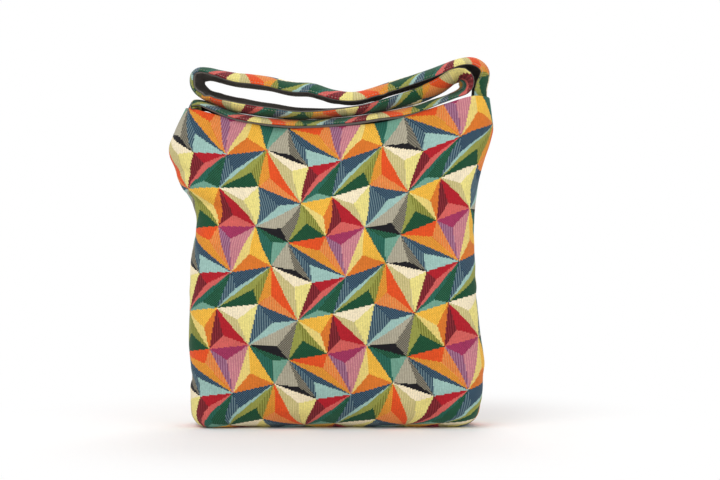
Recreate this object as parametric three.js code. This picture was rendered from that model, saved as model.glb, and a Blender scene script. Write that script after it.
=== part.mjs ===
// A shoulder bag sewn from woven tapestry cloth, standing full and open at the top, with its long
// strap folded in three runs over the mouth.
//
// Millimetres, +Z up. The origin is on the surface it stands on, under the middle of the bag.
// The front panel faces -Y, and +X is the wearer's left when the front is seen.
//
// Each piece is a sheet of cloth with two faces, laid out on a grid of rows and columns:
//   panels and lining: columns run from one side seam to the other, rows from the seam under the
//                      base up to the mouth, and on the outer panels over it into the turned hem;
//   strap:             rows run along its length, columns across its width.
import * as THREE from 'three';

// Cloths.
const TAPESTRY = 1.2;
const TWILL = 0.7;
const CLOTH_GAP = 0.3; // air left between two cloths that touch
const SEAM_GAP = 0.3; // between front and back along the side and base seams
const LINING_INSET = 2 * (TAPESTRY + CLOTH_GAP);

// Body, measured on its outside.
const MOUTH_LOW = 367; // lowest point of the mouth's edge
const HALF_WIDTH = 179; // of the filled part
const BASE_ROUND = 20; // radius of the edge between wall and base
const CORNER_ROUND = 30; // plan radius of the upright corners
const HEM = 28; // depth of the turned hem inside the mouth
const LINING_DROP = 22; // top of the lining below the mouth

// Strap.
const STRAP_WIDTH = 56;
const STRAP_TAIL = 19; // sewn inside the hem at each end

// How many rows and columns the sheets have.
const PANEL_COLUMNS = 22;
const SIDE_COLUMNS = 5; // of them, around each side of the bag
const WALL_ROWS = 10;
const BASE_ROWS = 3;
const ROUND_ROWS = 3;
const FOLD_STEPS = 4;
const STRAP_ROWS = 92;
const STRAP_COLUMNS = 4;

// The outline of the full bag: [height as a share of the mouth's low point, value in mm].
// The cloth stands wide and flat at the shoulders, where nothing fills it.
const LEFT_BULGE = [[0, -5], [0.1, -5], [0.2, -4], [0.42, -3], [0.6, -5], [0.71, -11], [0.82, 9],
  [0.93, 24], [1.0, 17], [1.08, 3]];
const RIGHT_BULGE = [[0, 3], [0.17, 10], [0.36, 2], [0.57, -2], [0.79, 2], [0.91, 13], [1.0, 22.5],
  [1.05, 21], [1.13, 17]];
const HALF_DEPTH = [[0, 48], [0.18, 50], [0.4, 50], [0.6, 46], [0.78, 38], [0.92, 29], [1.12, 26]];
const CROWN = [[0, 3], [0.16, 10], [0.4, 15], [0.6, 13], [0.8, 8], [1.0, 4], [1.12, 2]];

// How far the mouth's edge rises above its low point: [share of the half width, rise].
const MOUTH_RISE = [[-1, 27], [-0.89, 23], [-0.73, 16], [-0.6, 9.5], [-0.38, 2.5], [-0.2, 0],
  [0.2, 5], [0.4, 11], [0.56, 19.5], [0.72, 32], [0.83, 40], [0.9, 43], [1, 43]];

// Folds: [share across from the middle, height share] at both ends, depth inwards, width.
const FOLDS = [
  { from: [-1.0, 0.73], to: [-0.55, 0.63], depth: 11, width: 15 },
  { from: [-0.98, 0.9], to: [-0.5, 0.83], depth: -7, width: 20 },
  { from: [1.0, 0.82], to: [0.6, 0.6], depth: 10, width: 15 },
  { from: [1.0, 0.63], to: [0.75, 0.5], depth: 5, width: 14 },
  { from: [0.98, 0.98], to: [0.55, 0.86], depth: -5, width: 18 },
  { from: [-0.35, 1.0], to: [-0.2, 0.8], depth: 5, width: 16 },
  { from: [0.3, 1.0], to: [0.25, 0.82], depth: 4, width: 15 },
];

// The strap's middle line, from the right side seam to the left one, chosen by hand:
// [share of the mouth's half width, height above MOUTH_LOW, y, curl in 1/mm, tilt in degrees].
// The tapestry is on the outside of the first bend, and both edges curl towards the twill.
const STRAP_ROUTE = [
  [0.976, 52, 0, 1 / 22, 1], [0.989, 63, 0, 1 / 24, 4], [0.988, 74, 0, 1 / 25, 8],
  [0.961, 82.5, 0, 1 / 25, 10], [0.91, 88.5, 0, 1 / 26, 10], [0.849, 89.5, 0, 1 / 28, 9],
  [0.777, 86.2, -1, 1 / 34, 6], [0.706, 81.4, -2, 1 / 33, 4], [0.624, 76.5, -3, 1 / 30, 3],
  [0.511, 71, -4, 1 / 30, 2], [0.368, 63, -5, 1 / 28, 1], [0.245, 54, -5, 1 / 30, 1],
  [0.143, 48.5, -5, 1 / 30, 1], [0.026, 49.8, -5, 1 / 29, 1], [-0.134, 58, -4, 1 / 27, 1],
  [-0.268, 59.6, -3, 1 / 27, 1], [-0.402, 65.5, -2, 1 / 27, 1], [-0.525, 69, -2, 1 / 27, 2],
  [-0.643, 71, -1, 1 / 29, 2], [-0.75, 74.2, 0, 1 / 36, 4], [-0.841, 77, 0, 1 / 44, 6],
  [-0.906, 76, 0, 1 / 45, 8], [-0.947, 69.5, 0, 1 / 45, 9], [-0.952, 58, 0, 1 / 45, 10],
  [-0.924, 48.5, 0, 1 / 50, 12], [-0.868, 41, 0, 1 / 54, 12.5], [-0.798, 34.8, -1, 1 / 38, 12.5],
  [-0.723, 29.6, -2, 1 / 31, 13], [-0.643, 24.8, -4, 1 / 27, 13], [-0.525, 20.2, -5, 1 / 28, 12],
  [-0.402, 16.8, -6, 1 / 29, 12], [-0.257, 14.2, -6, 1 / 36, 11], [-0.113, 14.8, -6, 1 / 42, 9],
  [0.031, 17.5, -5, 1 / 44, 6], [0.184, 23, -5, 1 / 44, 5], [0.317, 28.3, -4, 1 / 34, 4],
  [0.435, 33.2, -3, 1 / 28, 2], [0.537, 38.6, -3, 1 / 26, 0], [0.624, 44.8, -2, 1 / 26, -3],
  [0.71, 53.5, -1, 1 / 29, -6], [0.778, 62.8, 0, 1 / 40, -10], [0.822, 65.3, 0, 1 / 90, -13],
  [0.842, 58.2, 0, 1 / 120, -13], [0.82, 51.4, 0, 1 / 130, -12], [0.752, 45.2, -1, 1 / 130, -9],
  [0.652, 38.7, -3, 1 / 90, -5], [0.537, 31.2, -5, 1 / 60, -2], [0.409, 23.7, -6, 1 / 46, 1],
  [0.286, 18.8, -7, 1 / 42, 3], [0.169, 14.8, -8, 1 / 42, 3], [0.041, 12, -8, 1 / 42, 3],
  [-0.113, 10.2, -8, 1 / 42, 3], [-0.257, 9.8, -8, 1 / 42, 3], [-0.402, 12, -8, 1 / 42, 3],
  [-0.531, 15.5, -7, 1 / 42, 3], [-0.643, 20.2, -6, 1 / 46, 3], [-0.723, 25, -5, 1 / 52, 2],
  [-0.798, 31, -4, 1 / 55, 1], [-0.874, 36.3, -2, 1 / 50, 1], [-0.935, 37.5, 0, 1 / 32, 0],
  [-0.958, 33.5, 0, 1 / 20, 0],
];

const materials = {
  tapestry: new THREE.MeshStandardMaterial({ color: 0xb7a150, roughness: 0.95, metalness: 0 }),
  twill: new THREE.MeshStandardMaterial({ color: 0x2e2b2a, roughness: 0.9, metalness: 0 }),
};

// A smooth value between [place, value] pairs.
function along(pairs, place) {
  const last = pairs.length - 1;
  let i = 0;
  while (i < last - 1 && place > pairs[i + 1][0]) i += 1;
  const [x0, y0] = pairs[i];
  const [x1, y1] = pairs[i + 1];
  const before = pairs[Math.max(i - 1, 0)];
  const after = pairs[Math.min(i + 2, last)];
  const slope0 = (y1 - before[1]) / (x1 - before[0]);
  const slope1 = (after[1] - y0) / (after[0] - x0);
  const span = x1 - x0;
  const t = THREE.MathUtils.clamp((place - x0) / span, 0, 1);
  const rise = t * t * (3 - 2 * t);
  const bend0 = t * (1 - t) * (1 - t) * span;
  const bend1 = t * t * (1 - t) * span;
  return y0 + (y1 - y0) * rise + slope0 * bend0 - slope1 * bend1;
}

// Height of the mouth's edge at a share across, -1 at the left seam and 1 at the right one.
function mouthHeight(share) {
  return MOUTH_LOW + along(MOUTH_RISE, share);
}

// How far the folds move the cloth towards the middle of the bag.
function foldDepth(share, level) {
  const point = new THREE.Vector2(share * HALF_WIDTH, level * MOUTH_LOW);
  let sum = 0;
  for (const fold of FOLDS) {
    const from = new THREE.Vector2(fold.from[0] * HALF_WIDTH, fold.from[1] * MOUTH_LOW);
    const line = new THREE.Vector2(fold.to[0] * HALF_WIDTH, fold.to[1] * MOUTH_LOW).sub(from);
    const offset = point.clone().sub(from);
    const t = THREE.MathUtils.clamp(offset.dot(line) / line.lengthSq(), 0, 1);
    const distance = offset.sub(line.multiplyScalar(t)).length();
    sum += fold.depth * (1 - 0.7 * t) * Math.exp(-((distance / fold.width) ** 2));
  }
  return sum;
}

// Half of the rounded rectangle that the bag's section is at a height. On the base it closes up
// to the seam line: spread is 1 at the edge of the base and 0 at the seam.
function sectionAt(z, spread) {
  const level = z / MOUTH_LOW;
  const drop = Math.max(BASE_ROUND - z, 0);
  const shrink = BASE_ROUND - Math.sqrt(BASE_ROUND ** 2 - drop ** 2);
  const depth = (along(HALF_DEPTH, level) - shrink) * spread;
  return {
    left: HALF_WIDTH + along(LEFT_BULGE, level) - shrink,
    right: HALF_WIDTH + along(RIGHT_BULGE, level) - shrink,
    depth,
    corner: Math.min(depth, CORNER_ROUND - shrink),
    crown: along(CROWN, level) * Math.min(z / BASE_ROUND, 1) * spread,
  };
}

// A point of half a section, by its column: the end columns go around the side of the bag, from
// the seam to the flat of the face, and the others lie evenly across the face.
function sectionPoint(section, column) {
  const { left, right, depth, corner } = section;
  const fromLeft = column < PANEL_COLUMNS / 2;
  const step = Math.min(column, PANEL_COLUMNS - column) / SIDE_COLUMNS;
  if (step > 1) {
    const share = (column - SIDE_COLUMNS) / (PANEL_COLUMNS - 2 * SIDE_COLUMNS);
    return [THREE.MathUtils.lerp(corner - left, right - corner, share), depth];
  }
  const flank = depth - corner;
  const run = step * (flank + Math.PI / 2 * corner);
  const angle = run > flank ? (run - flank) / corner : 0;
  const inwards = corner * (1 - Math.cos(angle));
  const y = Math.min(run, flank) + corner * Math.sin(angle);
  return [fromLeft ? inwards - left : right - inwards, y];
}

// A point of the bag's outer surface. side is -1 for the front and 1 for the back. A row has
// either its height on the base or its rise on the wall, from 0 at the floor to 1 at the mouth.
function bagPoint(side, column, { spread, height, rise }) {
  let point;
  let z = height ?? rise * MOUTH_LOW;
  for (let pass = 0; pass < 3; pass += 1) {
    const section = sectionAt(z, spread);
    const [x, y] = sectionPoint(section, column);
    const share = x / (x < 0 ? section.left : section.right);
    const cling = section.depth > 0 ? y / section.depth : 0;
    const dome = section.crown * (1 - share * share) ** 2;
    const fold = height === undefined ? foldDepth(share, rise) : 0;
    z = height ?? rise * mouthHeight(share);
    point = new THREE.Vector3(x, side * (y + cling * (dome - fold) + SEAM_GAP / 2), z);
  }
  return point;
}

// A closed solid from the two faces of a sheet, each a list of rows of points. The triangles of
// the rows after hemFrom lean the other way, so that a hem lies parallel to the cloth behind it.
function sheet(outer, inner, hemFrom = outer.length) {
  const rows = outer.length;
  const columns = outer[0].length;
  const positions = [...outer.flat(), ...inner.flat()].flatMap((p) => [p.x, p.y, p.z]);
  const at = (face, row, column) => face * rows * columns + row * columns + column;
  const index = [];
  const quad = (a, b, c, d) => index.push(a, b, c, a, c, d);
  for (let i = 0; i < rows - 1; i += 1) {
    for (let j = 0; j < columns - 1; j += 1) {
      const outerFace = [at(0, i, j), at(0, i, j + 1), at(0, i + 1, j + 1), at(0, i + 1, j)];
      const innerFace = [at(1, i, j), at(1, i + 1, j), at(1, i + 1, j + 1), at(1, i, j + 1)];
      for (const face of [outerFace, innerFace]) {
        if (i >= hemFrom) face.push(face.shift());
        quad(...face);
      }
    }
  }
  const right = columns - 1;
  const top = rows - 1;
  for (let i = 0; i < top; i += 1) {
    quad(at(0, i, 0), at(0, i + 1, 0), at(1, i + 1, 0), at(1, i, 0));
    quad(at(0, i + 1, right), at(0, i, right), at(1, i, right), at(1, i + 1, right));
  }
  for (let j = 0; j < right; j += 1) {
    quad(at(0, 0, j + 1), at(0, 0, j), at(1, 0, j), at(1, 0, j + 1));
    quad(at(0, top, j), at(0, top, j + 1), at(1, top, j + 1), at(1, top, j));
  }
  const geometry = new THREE.BufferGeometry();
  geometry.setAttribute('position', new THREE.Float32BufferAttribute(positions, 3));
  geometry.setIndex(index);
  geometry.computeVertexNormals();
  return geometry;
}

// The rows of the bag's grid, from the seam under the base up to the mouth. The last three are
// the edge of the hem, the edge of the lining and the mouth itself.
function gridRows() {
  const rows = [];
  for (let i = 0; i <= BASE_ROWS; i += 1) rows.push({ spread: i / BASE_ROWS, height: 0 });
  for (let i = 1; i <= ROUND_ROWS; i += 1) {
    const angle = Math.PI / 2 * i / ROUND_ROWS;
    rows.push({ spread: 1, height: BASE_ROUND * (1 - Math.cos(angle)) });
  }
  const foot = BASE_ROUND / MOUTH_LOW;
  const hemRise = 1 - HEM / MOUTH_LOW;
  for (let i = 1; i <= WALL_ROWS; i += 1) {
    rows.push({ spread: 1, rise: foot + (hemRise - foot) * i / WALL_ROWS });
  }
  rows.push({ spread: 1, rise: 1 - LINING_DROP / MOUTH_LOW });
  rows.push({ spread: 1, rise: 1 });
  return rows;
}

// The outer surface of one half of the bag: rows of points, each with its normal.
function bagHalf(side) {
  const specs = gridRows();
  const columns = Array.from({ length: PANEL_COLUMNS + 1 }, (_, j) => j);
  if (side > 0) columns.reverse();
  const grid = specs.map((spec) => columns.map((column) => bagPoint(side, column, spec)));
  const top = grid.length - 1;
  return grid.map((points, i) => points.map((point, j) => {
    const across = points[Math.min(j + 1, PANEL_COLUMNS)].clone();
    across.sub(points[Math.max(j - 1, 0)]);
    const upwards = grid[Math.min(i + 1, top)][j].clone().sub(grid[Math.max(i - 1, 0)][j]);
    const normal = across.cross(upwards);
    if (i < BASE_ROWS) normal.set(0, 0, -1);
    if (i > top - 2) normal.z = 0;
    if (j === 0 || j === PANEL_COLUMNS) normal.y = 0;
    return { point, normal: normal.normalize() };
  }));
}

// A row of the grid moved into the bag by inset, and up by lift.
function insetRow(row, inset, lift = 0) {
  return row.map(({ point, normal }) => {
    const moved = point.clone().addScaledVector(normal, -inset);
    moved.z += lift;
    return moved;
  });
}

// A front or back panel: base, wall, the fold at the mouth, and the hem turned in.
function panel(half) {
  const mouth = half.at(-1);
  const outer = half.map((row) => insetRow(row, 0));
  const inner = half.map((row) => insetRow(row, TAPESTRY));
  const middle = TAPESTRY + CLOTH_GAP / 2;
  for (let i = 1; i < FOLD_STEPS; i += 1) {
    const angle = Math.PI * i / FOLD_STEPS;
    const bend = (radius) => insetRow(mouth, middle - radius * Math.cos(angle),
      radius * Math.sin(angle));
    outer.push(bend(middle));
    inner.push(bend(CLOTH_GAP / 2));
  }
  const hemFrom = outer.length;
  for (const row of half.slice(-3).reverse()) {
    outer.push(insetRow(row, 2 * middle));
    inner.push(insetRow(row, TAPESTRY + CLOTH_GAP));
  }
  return sheet(outer, inner, hemFrom);
}

// Half of the lining bag. Its upper edge lies on the hem, below the strap's tails.
function liningHalf(half) {
  const rows = half.slice(0, -1);
  const outer = rows.map((row) => insetRow(row, LINING_INSET));
  const inner = rows.map((row) => insetRow(row, LINING_INSET + TWILL));
  return sheet(outer, inner);
}

// The strap's middle line as evenly spaced stations, each with a place, curl and tilt. Its tails
// lie on the hem at the side seams.
function strapStations(half) {
  const edge = half.at(-2);
  const mouth = half.at(-1);
  const tail = (column) => [0, 0.5, 1].map((share) => {
    const reach = STRAP_TAIL / LINING_DROP * (1 - share);
    const place = mouth[column].point.clone().lerp(edge[column].point, reach).setY(0);
    place.addScaledVector(mouth[column].normal, -LINING_INSET - TAPESTRY - 2 * CLOTH_GAP);
    return { place, form: new THREE.Vector3(1 / 20, 0, 0) };
  });
  const route = STRAP_ROUTE.map(([share, height, y, curl, tilt]) => {
    const corner = share < 0 ? mouth[0] : mouth.at(-1);
    return {
      place: new THREE.Vector3(Math.abs(share) * corner.point.x, y, MOUTH_LOW + height),
      form: new THREE.Vector3(curl, tilt, 0),
    };
  });
  const stops = [...tail(PANEL_COLUMNS), ...route, ...tail(0).reverse()];
  const placeCurve = new THREE.CatmullRomCurve3(stops.map((s) => s.place), false, 'catmullrom');
  const formCurve = new THREE.CatmullRomCurve3(stops.map((s) => s.form), false, 'catmullrom');
  placeCurve.arcLengthDivisions = 40 * stops.length;
  const stations = [];
  for (let i = 0; i <= STRAP_ROWS; i += 1) {
    const t = placeCurve.getUtoTmapping(i / STRAP_ROWS);
    const form = formCurve.getPoint(t);
    stations.push({
      place: placeCurve.getPoint(t),
      tangent: placeCurve.getTangent(t),
      curl: form.x,
      tilt: THREE.MathUtils.degToRad(form.y),
    });
  }
  return stations;
}

// One ply of the strap, between two heights above its middle line on the tapestry's side.
function strapPly(stations, high, low) {
  const face = (height) => stations.map(({ place, tangent, curl, tilt }) => {
    const across = new THREE.Vector3(0, -1, 0);
    const out = new THREE.Vector3().crossVectors(tangent, across).normalize();
    across.crossVectors(out, tangent).applyAxisAngle(tangent, tilt);
    out.applyAxisAngle(tangent, tilt);
    const points = [];
    for (let j = 0; j <= STRAP_COLUMNS; j += 1) {
      const angle = STRAP_WIDTH * (0.5 - j / STRAP_COLUMNS) * curl;
      const radius = 1 / curl;
      points.push(place.clone()
        .addScaledVector(across, (radius + height) * Math.sin(angle))
        .addScaledVector(out, (radius + height) * Math.cos(angle) - radius));
    }
    return points;
  });
  return sheet(face(high), face(low));
}

function named(name, geometry, material) {
  const mesh = new THREE.Mesh(geometry, material);
  mesh.name = name;
  return mesh;
}

const front = bagHalf(-1);
const back = bagHalf(1);
const stations = strapStations(front);
const bag = new THREE.Group();
bag.add(
  named('front_panel', panel(front), materials.tapestry),
  named('back_panel', panel(back), materials.tapestry),
  named('lining_front', liningHalf(front), materials.twill),
  named('lining_back', liningHalf(back), materials.twill),
  named('strap_face', strapPly(stations, CLOTH_GAP / 2 + TAPESTRY, CLOTH_GAP / 2),
    materials.tapestry),
  named('strap_backing', strapPly(stations, -CLOTH_GAP / 2, -CLOTH_GAP / 2 - TWILL),
    materials.twill),
);

export default bag;
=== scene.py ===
# %% [markdown]
# # A tapestry shoulder bag
# This lesson dresses a imported model of a cloth shoulder bag. The bag is two panels of woven
# tapestry, a dark twill lining, and one long strap that lies folded over the open mouth.
# The imported model gives every piece its place, so the lesson starts by loading it.
# Everything here is in metres, with +Z up and the front facing -Y.

# %% Load the imported model
import math

import bmesh
import bpy
import numpy as np
from mathutils import Matrix, Vector


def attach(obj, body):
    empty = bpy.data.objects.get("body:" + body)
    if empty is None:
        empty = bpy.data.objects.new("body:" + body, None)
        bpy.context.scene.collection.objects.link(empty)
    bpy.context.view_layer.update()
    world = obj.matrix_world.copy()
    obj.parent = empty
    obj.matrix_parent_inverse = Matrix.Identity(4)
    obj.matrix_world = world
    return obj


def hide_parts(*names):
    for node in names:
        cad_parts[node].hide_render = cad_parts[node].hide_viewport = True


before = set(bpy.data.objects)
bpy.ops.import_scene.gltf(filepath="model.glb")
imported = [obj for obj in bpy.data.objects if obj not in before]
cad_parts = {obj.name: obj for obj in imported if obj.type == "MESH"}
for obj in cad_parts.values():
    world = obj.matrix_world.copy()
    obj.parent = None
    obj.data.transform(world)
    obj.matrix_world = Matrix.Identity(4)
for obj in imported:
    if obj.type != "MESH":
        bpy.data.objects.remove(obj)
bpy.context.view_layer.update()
MM = 0.001
print("nodes:", ", ".join(sorted(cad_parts)))

# %% [markdown]
# ## The camera
# The photograph was taken from straight in front, at about half the bag's height, and from a
# fair distance, because the sides of the bag hardly converge. A long lens at 1.8 m repeats
# that. Making the camera first lets every later step be judged in the same view.

# %% Camera
CAMERA_PLACE = (0.035, -1.8, 0.231)
LENS, SENSOR = 72, 36    # millimetres

camera_data = bpy.data.cameras.new("camera")
camera_data.lens = LENS
camera_data.sensor_width = SENSOR
camera = bpy.data.objects.new("camera", camera_data)
camera.location = CAMERA_PLACE
camera.rotation_euler = (math.radians(90), 0, 0)
bpy.context.scene.collection.objects.link(camera)
bpy.context.scene.camera = camera
print("camera at", CAMERA_PLACE)

# %% [markdown]
# ## The bag's outline
# A sewn bag that stands full has no simple form: it is broad at the base, wavy at the sides,
# and flat where nothing fills it. It could be sculpted by hand or blown up by a cloth
# simulation. Here its sizes are written down instead, as pairs of height and value, because the
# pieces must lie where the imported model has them. These are the model's own values, but for the
# right end of the mouth, which hangs 3 mm lower.

# %% Sizes of the bag, in millimetres
TAPESTRY = 1.2
TWILL = 0.7
CLOTH_GAP = 0.3
SEAM_GAP = 0.3
LINING_INSET = 2 * (TAPESTRY + CLOTH_GAP)
MOUTH_LOW = 367
HALF_WIDTH = 179
BASE_ROUND = 20
CORNER_ROUND = 30
HEM = 28
LINING_DROP = 22
COLUMNS = 22        # of the model's grid across a panel
SIDE_COLUMNS = 5    # of them, around each side of the bag

LEFT_BULGE = [[0, -5], [0.1, -5], [0.2, -4], [0.42, -3], [0.6, -5], [0.71, -11], [0.82, 9],
              [0.93, 24], [1.0, 17], [1.08, 3]]
RIGHT_BULGE = [[0, 3], [0.17, 10], [0.36, 2], [0.57, -2], [0.79, 2], [0.91, 13], [1.0, 22.5],
               [1.05, 21], [1.13, 17]]
HALF_DEPTH = [[0, 48], [0.18, 50], [0.4, 50], [0.6, 46], [0.78, 38], [0.92, 29], [1.12, 26]]
CROWN = [[0, 3], [0.16, 10], [0.4, 15], [0.6, 13], [0.8, 8], [1.0, 4], [1.12, 2]]
MOUTH_RISE = [[-1, 27], [-0.89, 23], [-0.73, 16], [-0.6, 9.5], [-0.38, 2.5], [-0.2, 0],
              [0.2, 5], [0.4, 12], [0.56, 21.5], [0.72, 31.5], [0.83, 38], [0.9, 40.5], [1, 40]]

FOLDS = [  # (share across, share up) at both ends, depth inwards in mm, width in mm
    ((-1.0, 0.73), (-0.55, 0.63), 11, 15),
    ((-0.98, 0.9), (-0.5, 0.83), -7, 20),
    ((1.0, 0.82), (0.6, 0.6), 10, 15),
    ((1.0, 0.63), (0.75, 0.5), 5, 14),
    ((0.98, 0.98), (0.55, 0.86), -5, 18),
    ((-0.35, 1.0), (-0.2, 0.8), 5, 16),
    ((0.3, 1.0), (0.25, 0.82), 4, 15),
]

# How far along the cloth each part of a panel ends, from the seam under the base.
BASE_END = 48
ROUND_END = BASE_END + math.pi / 2 * BASE_ROUND
MOUTH_END = ROUND_END + MOUTH_LOW - BASE_ROUND
print(f"a panel is {MOUTH_END:.0f} mm from the base seam to the mouth")

# %% [markdown]
# ## Curves through the sizes
# Between two heights the cloth bends smoothly, so a straight line between the pairs would show
# as a kink. A spline object could do it, but its points can't be asked for at any place. The
# functions below can, and they work on whole arrays of points, so a fine mesh costs no more
# code than a coarse one.

# %% Smooth values between pairs
def along(pairs, place):
    """Smooth values at the given places, between [place, value] pairs."""
    x, y = np.array(pairs, float).T
    last = len(x) - 1
    i = np.searchsorted(x[1:last], place, side="left")
    before, after = np.maximum(i - 1, 0), np.minimum(i + 2, last)
    slope_in = (y[i + 1] - y[before]) / (x[i + 1] - x[before])
    slope_out = (y[after] - y[i]) / (x[after] - x[i])
    span = x[i + 1] - x[i]
    t = np.clip((place - x[i]) / span, 0, 1)
    bends = slope_in * t * (1 - t) ** 2 - slope_out * t * t * (1 - t)
    return y[i] + (y[i + 1] - y[i]) * t * t * (3 - 2 * t) + bends * span


def smooth_step(low, high, value):
    """0 below low, 1 above high, and a soft rise between."""
    t = np.clip((value - low) / (high - low), 0, 1)
    return t * t * (3 - 2 * t)


def line_distance(start, end, x, z):
    """Share along a line of the nearest point to (x, z), and how far off it lies."""
    dx, dz = end[0] - start[0], end[1] - start[1]
    t = np.clip(((x - start[0]) * dx + (z - start[1]) * dz) / (dx * dx + dz * dz), 0, 1)
    return t, np.hypot(x - start[0] - t * dx, z - start[1] - t * dz)


def drawn_depth(lines, fade, share, rise):
    """How far drawn folds move the cloth inwards. Each fades towards its second end."""
    total = np.zeros_like(share)
    for start, end, depth, width in lines:
        ends = [(x * HALF_WIDTH, z * MOUTH_LOW) for x, z in (start, end)]
        t, off = line_distance(*ends, share * HALF_WIDTH, rise * MOUTH_LOW)
        total += depth * (1 - fade * t) * np.exp(-(off / width) ** 2)
    return total


levels_tried = np.array([0, 0.5, 1])
print("half its depth, at the base, half way and mouth:", along(HALF_DEPTH, levels_tried).round(1))

# %% [markdown]
# ## From numbers to a surface
# Each height has a section, a rounded rectangle that swells in the middle. A point of the bag is
# a column across that section and a path length up the cloth, as on the flat pattern that the
# panel is cut from. Height and section need each other, because the mouth slumps, so the point
# is found in three rounds, which is simpler than solving for it.

# %% Points of the bag's outside
FOLD_FADE = 0.7
BASE_FAN = 6         # how far the sides draw in under the base, towards its seam, in mm


def levels(path):
    """Spread over the base, height on it and rise up the wall, at path lengths."""
    spread = np.clip(path / BASE_END, 0, 1)
    turn = np.clip((path - BASE_END) / BASE_ROUND, 0, math.pi / 2)
    height = BASE_ROUND * (1 - np.cos(turn))
    foot = BASE_ROUND / MOUTH_LOW
    wall = np.clip((path - ROUND_END) / (MOUTH_END - ROUND_END), 0, None)
    rise = np.where(wall > 0, foot + (1 - foot) * wall, 0)
    return spread, height, rise


def bag_point(side, column, path):
    """Points of the outside, and each one's share of the way around from seam to seam."""
    spread, height, rise = levels(path)
    on_wall = rise > 0
    step = np.minimum(column, COLUMNS - column) / SIDE_COLUMNS
    middle = (column - SIDE_COLUMNS) / (COLUMNS - 2 * SIDE_COLUMNS)
    z = np.where(on_wall, rise * MOUTH_LOW, height)
    for _ in range(3):
        level = z / MOUTH_LOW
        drop = np.maximum(BASE_ROUND - z, 0)
        shrink = BASE_ROUND - np.sqrt(BASE_ROUND ** 2 - drop ** 2)
        depth = (along(HALF_DEPTH, level) - shrink) * spread
        shrink_x = shrink + BASE_FAN * (1 - spread)
        left = HALF_WIDTH + along(LEFT_BULGE, level) - shrink_x
        right = HALF_WIDTH + along(RIGHT_BULGE, level) - shrink_x
        corner = np.minimum(depth, CORNER_ROUND - shrink)
        flank = depth - corner
        side_run = flank + math.pi / 2 * corner
        run = np.clip(step, 0, 1) * side_run
        angle = np.maximum(run - flank, 0) / np.maximum(corner, 1e-6)
        inwards = corner * (1 - np.cos(angle))
        face_x = (corner - left) * (1 - middle) + (right - corner) * middle
        side_x = np.where(column < COLUMNS / 2, inwards - left, right - inwards)
        x = np.where(step > 1, face_x, side_x)
        y = np.minimum(run, flank) + corner * np.sin(angle)
        share = x / np.where(x < 0, left, right)
        cling = y / np.maximum(depth, 1e-6)
        crown = along(CROWN, level) * np.minimum(z / BASE_ROUND, 1) * spread
        dome = crown * (1 - share ** 2) ** 2
        fold = np.where(on_wall, drawn_depth(FOLDS, FOLD_FADE, share, rise), 0)
        z = np.where(on_wall, rise * (MOUTH_LOW + along(MOUTH_RISE, share)), height)
    face_run = left + right - 2 * corner
    gone = np.where(step > 1, side_run + middle * face_run,
                    np.where(column < COLUMNS / 2, run, side_run * 2 + face_run - run))
    point = np.stack([x, side * (y + cling * (dome - fold) + SEAM_GAP / 2), z], -1)
    return point, gone / (2 * side_run + face_run)


def bag_normal(side, column, path):
    """Directions out of the cloth, level near the mouth and square to the side seams."""
    column_step, path_step = 0.2, 2.5
    ends = [np.clip(column + d, 0, COLUMNS) for d in (-column_step, column_step)]
    across = bag_point(side, ends[1], path)[0] - bag_point(side, ends[0], path)[0]
    ends = [np.clip(path + d, 0, MOUTH_END) for d in (-path_step, path_step)]
    upwards = bag_point(side, column, ends[1])[0] - bag_point(side, column, ends[0])[0]
    normal = np.cross(across, upwards) * -side
    normal[path < BASE_END - path_step] = (0, 0, -1)
    rise = levels(path)[2]
    normal[:, 2] *= 1 - smooth_step(0.86, 1 - HEM / MOUTH_LOW, rise)
    normal[:, 1] *= smooth_step(0, 0.6, np.minimum(column, COLUMNS - column))
    return normal / np.linalg.norm(normal, axis=1)[:, None]


half_up = bag_point(-1, np.array([COLUMNS / 2]), np.array([MOUTH_END / 2]))[0][0]
print("half way up, the front's middle is at", half_up.round(1), "mm")

# %% [markdown]
# ## Wrinkles
# Cloth that is filled by hand is never smooth. Broad waves run over the faces, short puckers
# gather along the seams, and single creases cross the shoulders. A simulation could make
# them, but it would also move the mouth and the strap off their places. Seeded random
# waves and a few drawn creases, moved along the normals, stay under control.

# %% Waves and creases
CREASES = [  # (share across, share up) at both ends, depth inwards in mm, width in mm
    ((-1.00, 0.82), (-0.58, 0.77), 3.8, 6),
    ((-1.00, 0.72), (-0.66, 0.70), 3.4, 6),
    ((-0.98, 0.62), (-0.76, 0.52), 2.4, 6),
    ((1.00, 0.80), (0.66, 0.62), 4.0, 7),
    ((1.00, 0.68), (0.80, 0.50), 3.2, 6),
    ((1.00, 0.93), (0.74, 0.82), 3.0, 7),
    ((0.99, 0.46), (0.84, 0.36), 2.0, 6),
    ((-0.60, 0.97), (-0.44, 0.76), 2.4, 8),
    ((0.55, 0.96), (0.46, 0.78), 2.2, 8),
    ((0.05, 0.96), (0.00, 0.80), 1.8, 9),
    ((-0.98, 0.18), (-0.62, 0.10), 2.6, 7),
    ((-0.30, 0.09), (0.12, 0.12), 2.0, 8),
    ((0.52, 0.08), (0.97, 0.17), 2.6, 7),
]
CREASE_FADE = 0.6
BROAD_WAVES = (1.9, 52)     # height and size, in mm
SMALL_WAVES = (0.8, 25)
SEAM_PUCKERS = (1.5, 12)
BASE_PUCKERS = (0.8, 14)
CALM = (0.84, 0.95)  # rise up the wall over which the wrinkles fade towards the mouth
BASE_LIFT = 4.5      # how far the edge of the base stays off the floor, in mm
PRINT_WIDTH = 430    # of the cloth across a panel, from seam to seam, in mm
PRINT_HEIGHT = 395   # of the cloth up to the mouth's lowest point
PRINT_FOOT = 21.5    # the print's height where the wall starts


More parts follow.
